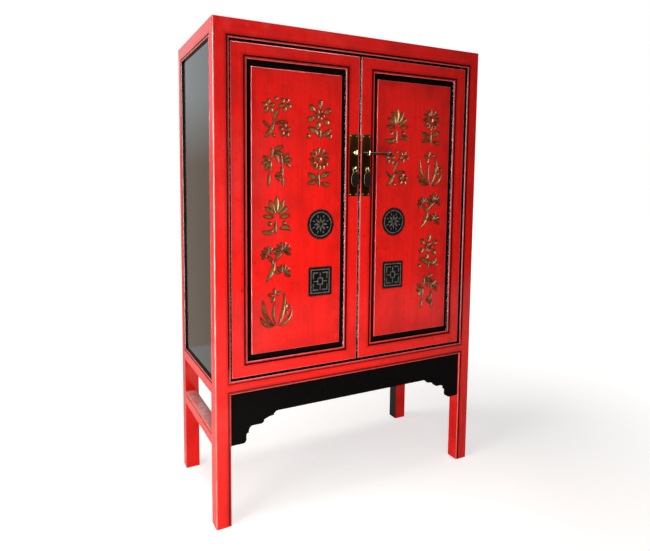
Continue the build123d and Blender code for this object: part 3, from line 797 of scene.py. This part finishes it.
class CABINET_OT_stage(bpy.types.Operator):
    """Makes the floor, the lamps, the surroundings and the camera"""

    bl_idname = "cabinet.stage"
    bl_label = "Stage, lamps and camera"

    def execute(self, context):
        self.surroundings(context)
        self.floor(context)
        for name, place, size, shades, strength in CARDS:
            self.card(name, place, size, shades, strength)
        for name, place, target, size, power in SOFT_LAMPS:
            self.lamp(name, place, target, size, power).visible_glossy = False
        for name, place, target, size, power in GLINT_LAMPS:
            self.lamp(name, place, target, size, power).visible_diffuse = False
        self.camera(context)
        return {"FINISHED"}

    def seen(self, tree):
        """1 for rays from the camera and for what gloss and glass show."""
        path = node(tree, "LightPath").outputs
        kinds = ("Camera", "Glossy", "Transmission")
        return either(tree, *(path[f"Is {kind} Ray"] for kind in kinds))

    def surroundings(self, context):
        """White all round where it is seen, and a low even fill for the rest."""
        world = bpy.data.worlds.new("studio")
        world.use_nodes = True
        tree = world.node_tree
        tree.nodes.clear()
        strength = node(tree, "MapRange", (self.seen(tree), 0.0, 1.0, *FILL))
        light = node(tree, "Background", {"Color": WHITE, "Strength": strength})
        node(tree, "OutputWorld", {"Surface": light})
        context.scene.world = world

    def floor(self, context):
        """A wide pale floor that keeps the shadow near the cabinet and fades into the white. Gloss
        mirrors less of its glow near the cabinet."""
        bpy.ops.mesh.primitive_plane_add(size=FLOOR_SIZE)
        floor = started("floor")
        made, tree, spots = new_material("painted_floor")
        away = node(tree, "VectorMath", (spots["Object"],), operation="LENGTH").outputs["Value"]
        glossy = node(tree, "LightPath").outputs["Is Glossy Ray"]
        dimmed = both(tree, glossy, node(tree, "MapRange", (away, *FLOOR_DIMMED)))
        glow = node(tree, "MapRange", (away, *FLOOR_GLOW))
        glow = node(tree, "Math", (glow, dimmed), operation="SUBTRACT")
        surface(
            tree,
            {
                "Base Color": context.scene.cabinet_colours.floor,
                "Roughness": FLOOR_ROUGHNESS,
                "Emission Color": WHITE,
                "Emission Strength": both(tree, glow, self.seen(tree)),
            },
        )
        floor.data.materials.append(made)

    def card(self, name, place, size, shades, strength):
        """An upright matt card that only polished surfaces show, one shade low and one high."""
        bpy.ops.mesh.primitive_plane_add(size=1.0, location=place, rotation=(pi / 2, 0.0, 0.0))
        card = started(name)
        card.scale = (*size, 1.0)
        made, tree, spots = new_material(name)
        up = node(tree, "SeparateXYZ", [spots["Object"]]).outputs["Y"]
        high = node(tree, "MapRange", (up, *CARD_BLEND))
        shade = mixed(tree, [(high, linear(shades[1]))], linear(shades[0]))
        glow = node(tree, "Emission", {"Color": shade, "Strength": strength})
        node(tree, "OutputMaterial", {"Surface": glow})
        card.data.materials.append(made)
        for kind in ("camera", "diffuse", "transmission", "volume_scatter", "shadow"):
            setattr(card, f"visible_{kind}", False)

    def lamp(self, name, place, target, size, power):
        """A soft rectangular lamp turned towards a point."""
        light = bpy.data.lights.new(name, "AREA")
        light.energy = power
        light.shape = "RECTANGLE"
        light.size, light.size_y = size
        lamp = bpy.data.objects.new(name, light)
        lamp.location = place
        lamp.rotation_euler = (Vector(target) - Vector(place)).to_track_quat("-Z", "Y").to_euler()
        lamp.visible_camera = False
        bpy.context.scene.collection.objects.link(lamp)
        return lamp

    def camera(self, context):
        """A camera at the front left, two thirds as high as the cabinet and tilted a little down."""
        camera = bpy.data.objects.new("camera", bpy.data.cameras.new("camera"))
        camera.location = CAMERA_PLACE
        camera.rotation_euler = (CAMERA_TILT, 0.0, CAMERA_TURN)
        camera.data.sensor_width = 36.0
        camera.data.lens = 27.08
        camera.data.shift_x = 0.0852
        camera.data.shift_y = -0.0786
        context.scene.collection.objects.link(camera)
        context.scene.camera = camera
        context.scene.view_settings.view_transform = "Standard"


class CABINET_OT_case(bpy.types.Operator):
    """Lacquers the posts, the rails and the side panels, and stains the boards inside"""

    bl_idname = "cabinet.case"
    bl_label = "Case finishes"

    def execute(self, context):
        upright = red_lacquer("red_lacquer_posts", "Z")
        crosswise = red_lacquer("red_lacquer_case_rails", "X")
        for end in ("front", "rear"):
            finish(upright, f"post_{end}_left", f"post_{end}_right")
            finish(crosswise, f"top_rail_{end}", f"bottom_rail_{end}")
        along = red_lacquer("red_lacquer_side_rails", "Y")
        dusty = red_lacquer("dusty_red_lacquer_stretchers", "Y", dusty=True)
        for side in ("left", "right"):
            finish(along, f"top_rail_{side}", f"bottom_rail_{side}")
            finish(dusty, f"stretcher_{side}")
        polished = black_lacquer("polished_black_lacquer", "Z", *POLISHED)
        finish(polished, "side_panel_left", "side_panel_right")
        smoky = black_lacquer("smoky_black_lacquer_apron", "X", *SMOKY)
        finish(smoky, "apron", "apron_bracket_left", "apron_bracket_right")
        boards = stained_wood("stained_boards", "X")
        finish(boards, "top_panel", "floor_board", "shelf_lower", "shelf_upper")
        battens = stained_wood("stained_battens", "Y")
        finish(battens, "top_battens", "floor_battens", "shelf_bearers_left", "shelf_bearers_right")
        back = stained_wood("stained_back", "Z")
        finish(back, "back_muntin", "back_panel_left", "back_panel_right")
        return {"FINISHED"}


class CABINET_OT_doors(bpy.types.Operator):
    """Lacquers the door frames, their black grounds and the carved fields"""

    bl_idname = "cabinet.doors"
    bl_label = "Door finishes"

    def execute(self, context):
        stiles = red_lacquer("red_lacquer_stiles", "Z", door=True)
        rails = red_lacquer("red_lacquer_door_rails", "X", door=True)
        ground = black_lacquer("smoky_black_lacquer_grounds", "Z", *SMOKY)
        field = carved_field("gilded_carving_on_red_lacquer")
        for side in ("left", "right"):
            finish(stiles, f"{side}_door_outer_stile", f"{side}_door_inner_stile")
            finish(rails, f"{side}_door_top_rail", f"{side}_door_bottom_rail")
            finish(ground, f"{side}_door_board")
            finish(field, f"{side}_door_panel")
        return {"FINISHED"}


# The lock plate's raised border, as an inset and a push back from the front for each step.
PLATE_STEPS = (
    (2.6 * MM, 0.0),
    (0.5 * MM, 0.5 * MM),
    (1.6 * MM, 0.0),
    (0.4 * MM, -0.3 * MM),
)
PLATE_EDGE = 0.5 * MM


class CABINET_OT_plates(bpy.types.Operator):
    """Lock plates of sheet brass with a raised border, and their rivets, loops and eyes"""

    bl_idname = "cabinet.plates"
    bl_label = "Lock plates and loops"

    def execute(self, context):
        colours = context.scene.cabinet_colours
        metal = patinated_metal(
            "patinated_sheet_brass",
            colours.plate,
            colours.plate_tarnish,
            colours.old_brass,
            SHEET_BRASS,
        )
        bright = patinated_metal(
            "worn_cast_brass",
            colours.cast_brass,
            colours.cast_tarnish,
            colours.bright_brass,
            CAST_BRASS,
        )
        for side in ("left", "right"):
            low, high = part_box(f"{side}_door_plate")
            deselect()
            bpy.ops.mesh.primitive_cube_add(size=1.0, location=(low + high) / 2, scale=high - low)
            plate = started(f"{side}_lock_plate")
            bpy.ops.object.transform_apply(location=True, rotation=True, scale=True)
            bpy.ops.object.mode_set(mode="EDIT")
            choose(lambda normal: normal.y < -FACING)
            for inset, push in PLATE_STEPS:
                step_in(inset, push)
            bpy.ops.object.mode_set(mode="OBJECT")
            bevelled(plate, PLATE_EDGE, 2)
            settle(plate, metal, "aged_brass", f"{side}_door", f"{side}_door_plate")
            finish(metal, f"{side}_door_rivets")
            finish(bright, f"{side}_door_staple", f"{side}_door_eye")
        return {"FINISHED"}


# The oval pull: half its height, its rim as insets and pushes out from each face, then its dome as
# rises and how much each shrinks the face. The ring over it hangs from its top.
PULL_HALF = 29 * MM
PULL_RIM = (
    (2.4 * MM, 0.0),
    (0.6 * MM, -1.0 * MM),
    (1.0 * MM, 0.0),
)
PULL_DOME = (
    (0.5 * MM, 0.8),
    (0.35 * MM, 0.72),
    (0.2 * MM, 0.6),
    (0.1 * MM, 0.4),
)
PULL_EDGE = 0.7 * MM
RING_RADIUS = 8 * MM
RING_WIRE = 2 * MM


class CABINET_OT_pendants(bpy.types.Operator):
    """Oval pulls with a raised rim and a low dome, each on its ring"""

    bl_idname = "cabinet.pendants"
    bl_label = "Pendants"

    def execute(self, context):
        colours = context.scene.cabinet_colours
        dark = patinated_metal(
            "dark_bronze_pendants",
            colours.bronze,
            colours.pendant_tarnish,
            colours.old_brass,
            PENDANT_BRONZE,
        )
        for side in ("left", "right"):
            low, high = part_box(f"{side}_pendant")
            middle = (low + high) / 2
            wide, thick = (high.x - low.x) / 2, (high.y - low.y) / 2
            centre = (middle.x, middle.y, low.z + PULL_HALF)
            deselect()
            bpy.ops.mesh.primitive_cylinder_add(
                vertices=96,
                radius=1.0,
                depth=2.0,
                location=centre,
                rotation=(pi / 2, 0.0, 0.0),
                scale=(wide, PULL_HALF, thick),
            )
            drop = started(f"{side}_pull")
            bpy.ops.object.transform_apply(location=True, rotation=True, scale=True)
            bpy.ops.object.mode_set(mode="EDIT")
            for facing in (-1, 1):
                choose(lambda normal: normal.y * facing > FACING)
                for inset, push in PULL_RIM:
                    step_in(inset, facing * push)
                for rise, shrink in PULL_DOME:
                    step_in(0.0, facing * rise)
                    bpy.ops.transform.resize(value=(shrink, 1.0, shrink), center_override=centre)
            bpy.ops.object.mode_set(mode="OBJECT")
            bevelled(drop, PULL_EDGE)
            bpy.ops.mesh.primitive_torus_add(
                major_radius=RING_RADIUS,
                minor_radius=RING_WIRE,
                major_segments=48,
                minor_segments=16,
                location=(middle.x, middle.y, high.z - RING_RADIUS - RING_WIRE),
                rotation=(pi / 2, 0.0, 0.0),
            )
            pull = joined([drop, bpy.context.active_object])
            settle(pull, dark, "worn_brass", f"{side}_pendant", f"{side}_pendant")
        return {"FINISHED"}


# The lock pin: its rod, the steps of its round tip in shares of the rod's radius and how much each
# shrinks, and the collars' distances from the ball's middle and radii.
PIN_ROD = 4.6 * MM
PIN_TIP = ((0.35, 0.82), (0.25, 0.5))
PIN_COLLARS = ((12.2 * MM, 6.0 * MM), (15.6 * MM, 5.2 * MM))
COLLAR_WIRE = 1.5 * MM
TIP_FACING = 0.95


class CABINET_OT_lock_pin(bpy.types.Operator):
    """A turned lock pin with a round tip, two collars and a ball"""

    bl_idname = "cabinet.lock_pin"
    bl_label = "Lock pin"

    def execute(self, context):
        colours = context.scene.cabinet_colours
        dark = patinated_metal(
            "dark_bronze_pin", colours.bronze, colours.pin_tarnish, colours.bronze, PIN_BRONZE
        )
        low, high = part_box("lock_pin")
        level = (low + high) / 2
        ball = (high.z - low.z) / 2
        end = high.x - ball
        start = low.x + sum(grow for grow, shrink in PIN_TIP) * PIN_ROD
        turned = (0.0, pi / 2, 0.0)
        deselect()
        bpy.ops.mesh.primitive_cylinder_add(
            vertices=48,
            radius=PIN_ROD,
            depth=end - start,
            location=((start + end) / 2, level.y, level.z),
            rotation=turned,
        )
        pieces = [started("turned_lock_pin")]
        bpy.ops.object.transform_apply(location=True, rotation=True, scale=True)
        bpy.ops.object.mode_set(mode="EDIT")
        for grow, shrink in PIN_TIP:
            choose(lambda normal: normal.x < -TIP_FACING)
            forward = {"value": (-grow * PIN_ROD, 0.0, 0.0)}
            bpy.ops.mesh.extrude_region_move(TRANSFORM_OT_translate=forward)
            bpy.ops.transform.resize(value=(1.0, shrink, shrink))
        bpy.ops.object.mode_set(mode="OBJECT")
        bpy.ops.mesh.primitive_uv_sphere_add(
            segments=48,
            ring_count=24,
            radius=ball,
            location=(end, level.y, level.z),
            rotation=turned,
        )
        pieces.append(bpy.context.active_object)
        for back, radius in PIN_COLLARS:
            bpy.ops.mesh.primitive_torus_add(
                major_radius=radius,
                minor_radius=COLLAR_WIRE,
                major_segments=48,
                minor_segments=12,
                location=(end - back, level.y, level.z),
                rotation=turned,
            )
            pieces.append(bpy.context.active_object)
        settle(joined(pieces), dark, "worn_brass", "lock_pin", "lock_pin")
        return {"FINISHED"}


class CABINET_PT_panel(bpy.types.Panel):
    """The cabinet's steps, colours and sizes"""

    bl_idname = "CABINET_PT_panel"
    bl_label = "Wedding cabinet"
    bl_space_type = "VIEW_3D"
    bl_region_type = "UI"
    bl_category = "Cabinet"

    def draw(self, context):
        for operator in OPERATORS:
            self.layout.operator(operator.bl_idname)
        for group in (context.scene.cabinet_colours, context.scene.cabinet_sizes):
            box = self.layout.box()
            for name in group.__annotations__:
                box.prop(group, name)


OPERATORS = (
    CABINET_OT_stage,
    CABINET_OT_case,
    CABINET_OT_doors,
    CABINET_OT_plates,
    CABINET_OT_pendants,
    CABINET_OT_lock_pin,
)
CLASSES = (CabinetColours, CabinetSizes, *OPERATORS, CABINET_PT_panel)


def register():
    """Adds the classes, and the colours and sizes to the scene."""
    for made in CLASSES:
        bpy.utils.register_class(made)
    bpy.types.Scene.cabinet_colours = bpy.props.PointerProperty(type=CabinetColours)
    bpy.types.Scene.cabinet_sizes = bpy.props.PointerProperty(type=CabinetSizes)


def unregister():
    """Takes away what register adds."""
    del bpy.types.Scene.cabinet_sizes
    del bpy.types.Scene.cabinet_colours
    for made in reversed(CLASSES):
        bpy.utils.unregister_class(made)


def main():
    """Makes everything in order."""
    register()
    bpy.ops.cabinet.stage()
    bpy.ops.cabinet.case()
    bpy.ops.cabinet.doors()
    bpy.ops.cabinet.plates()
    bpy.ops.cabinet.pendants()
    bpy.ops.cabinet.lock_pin()


if __name__ == "__main__":
    main()
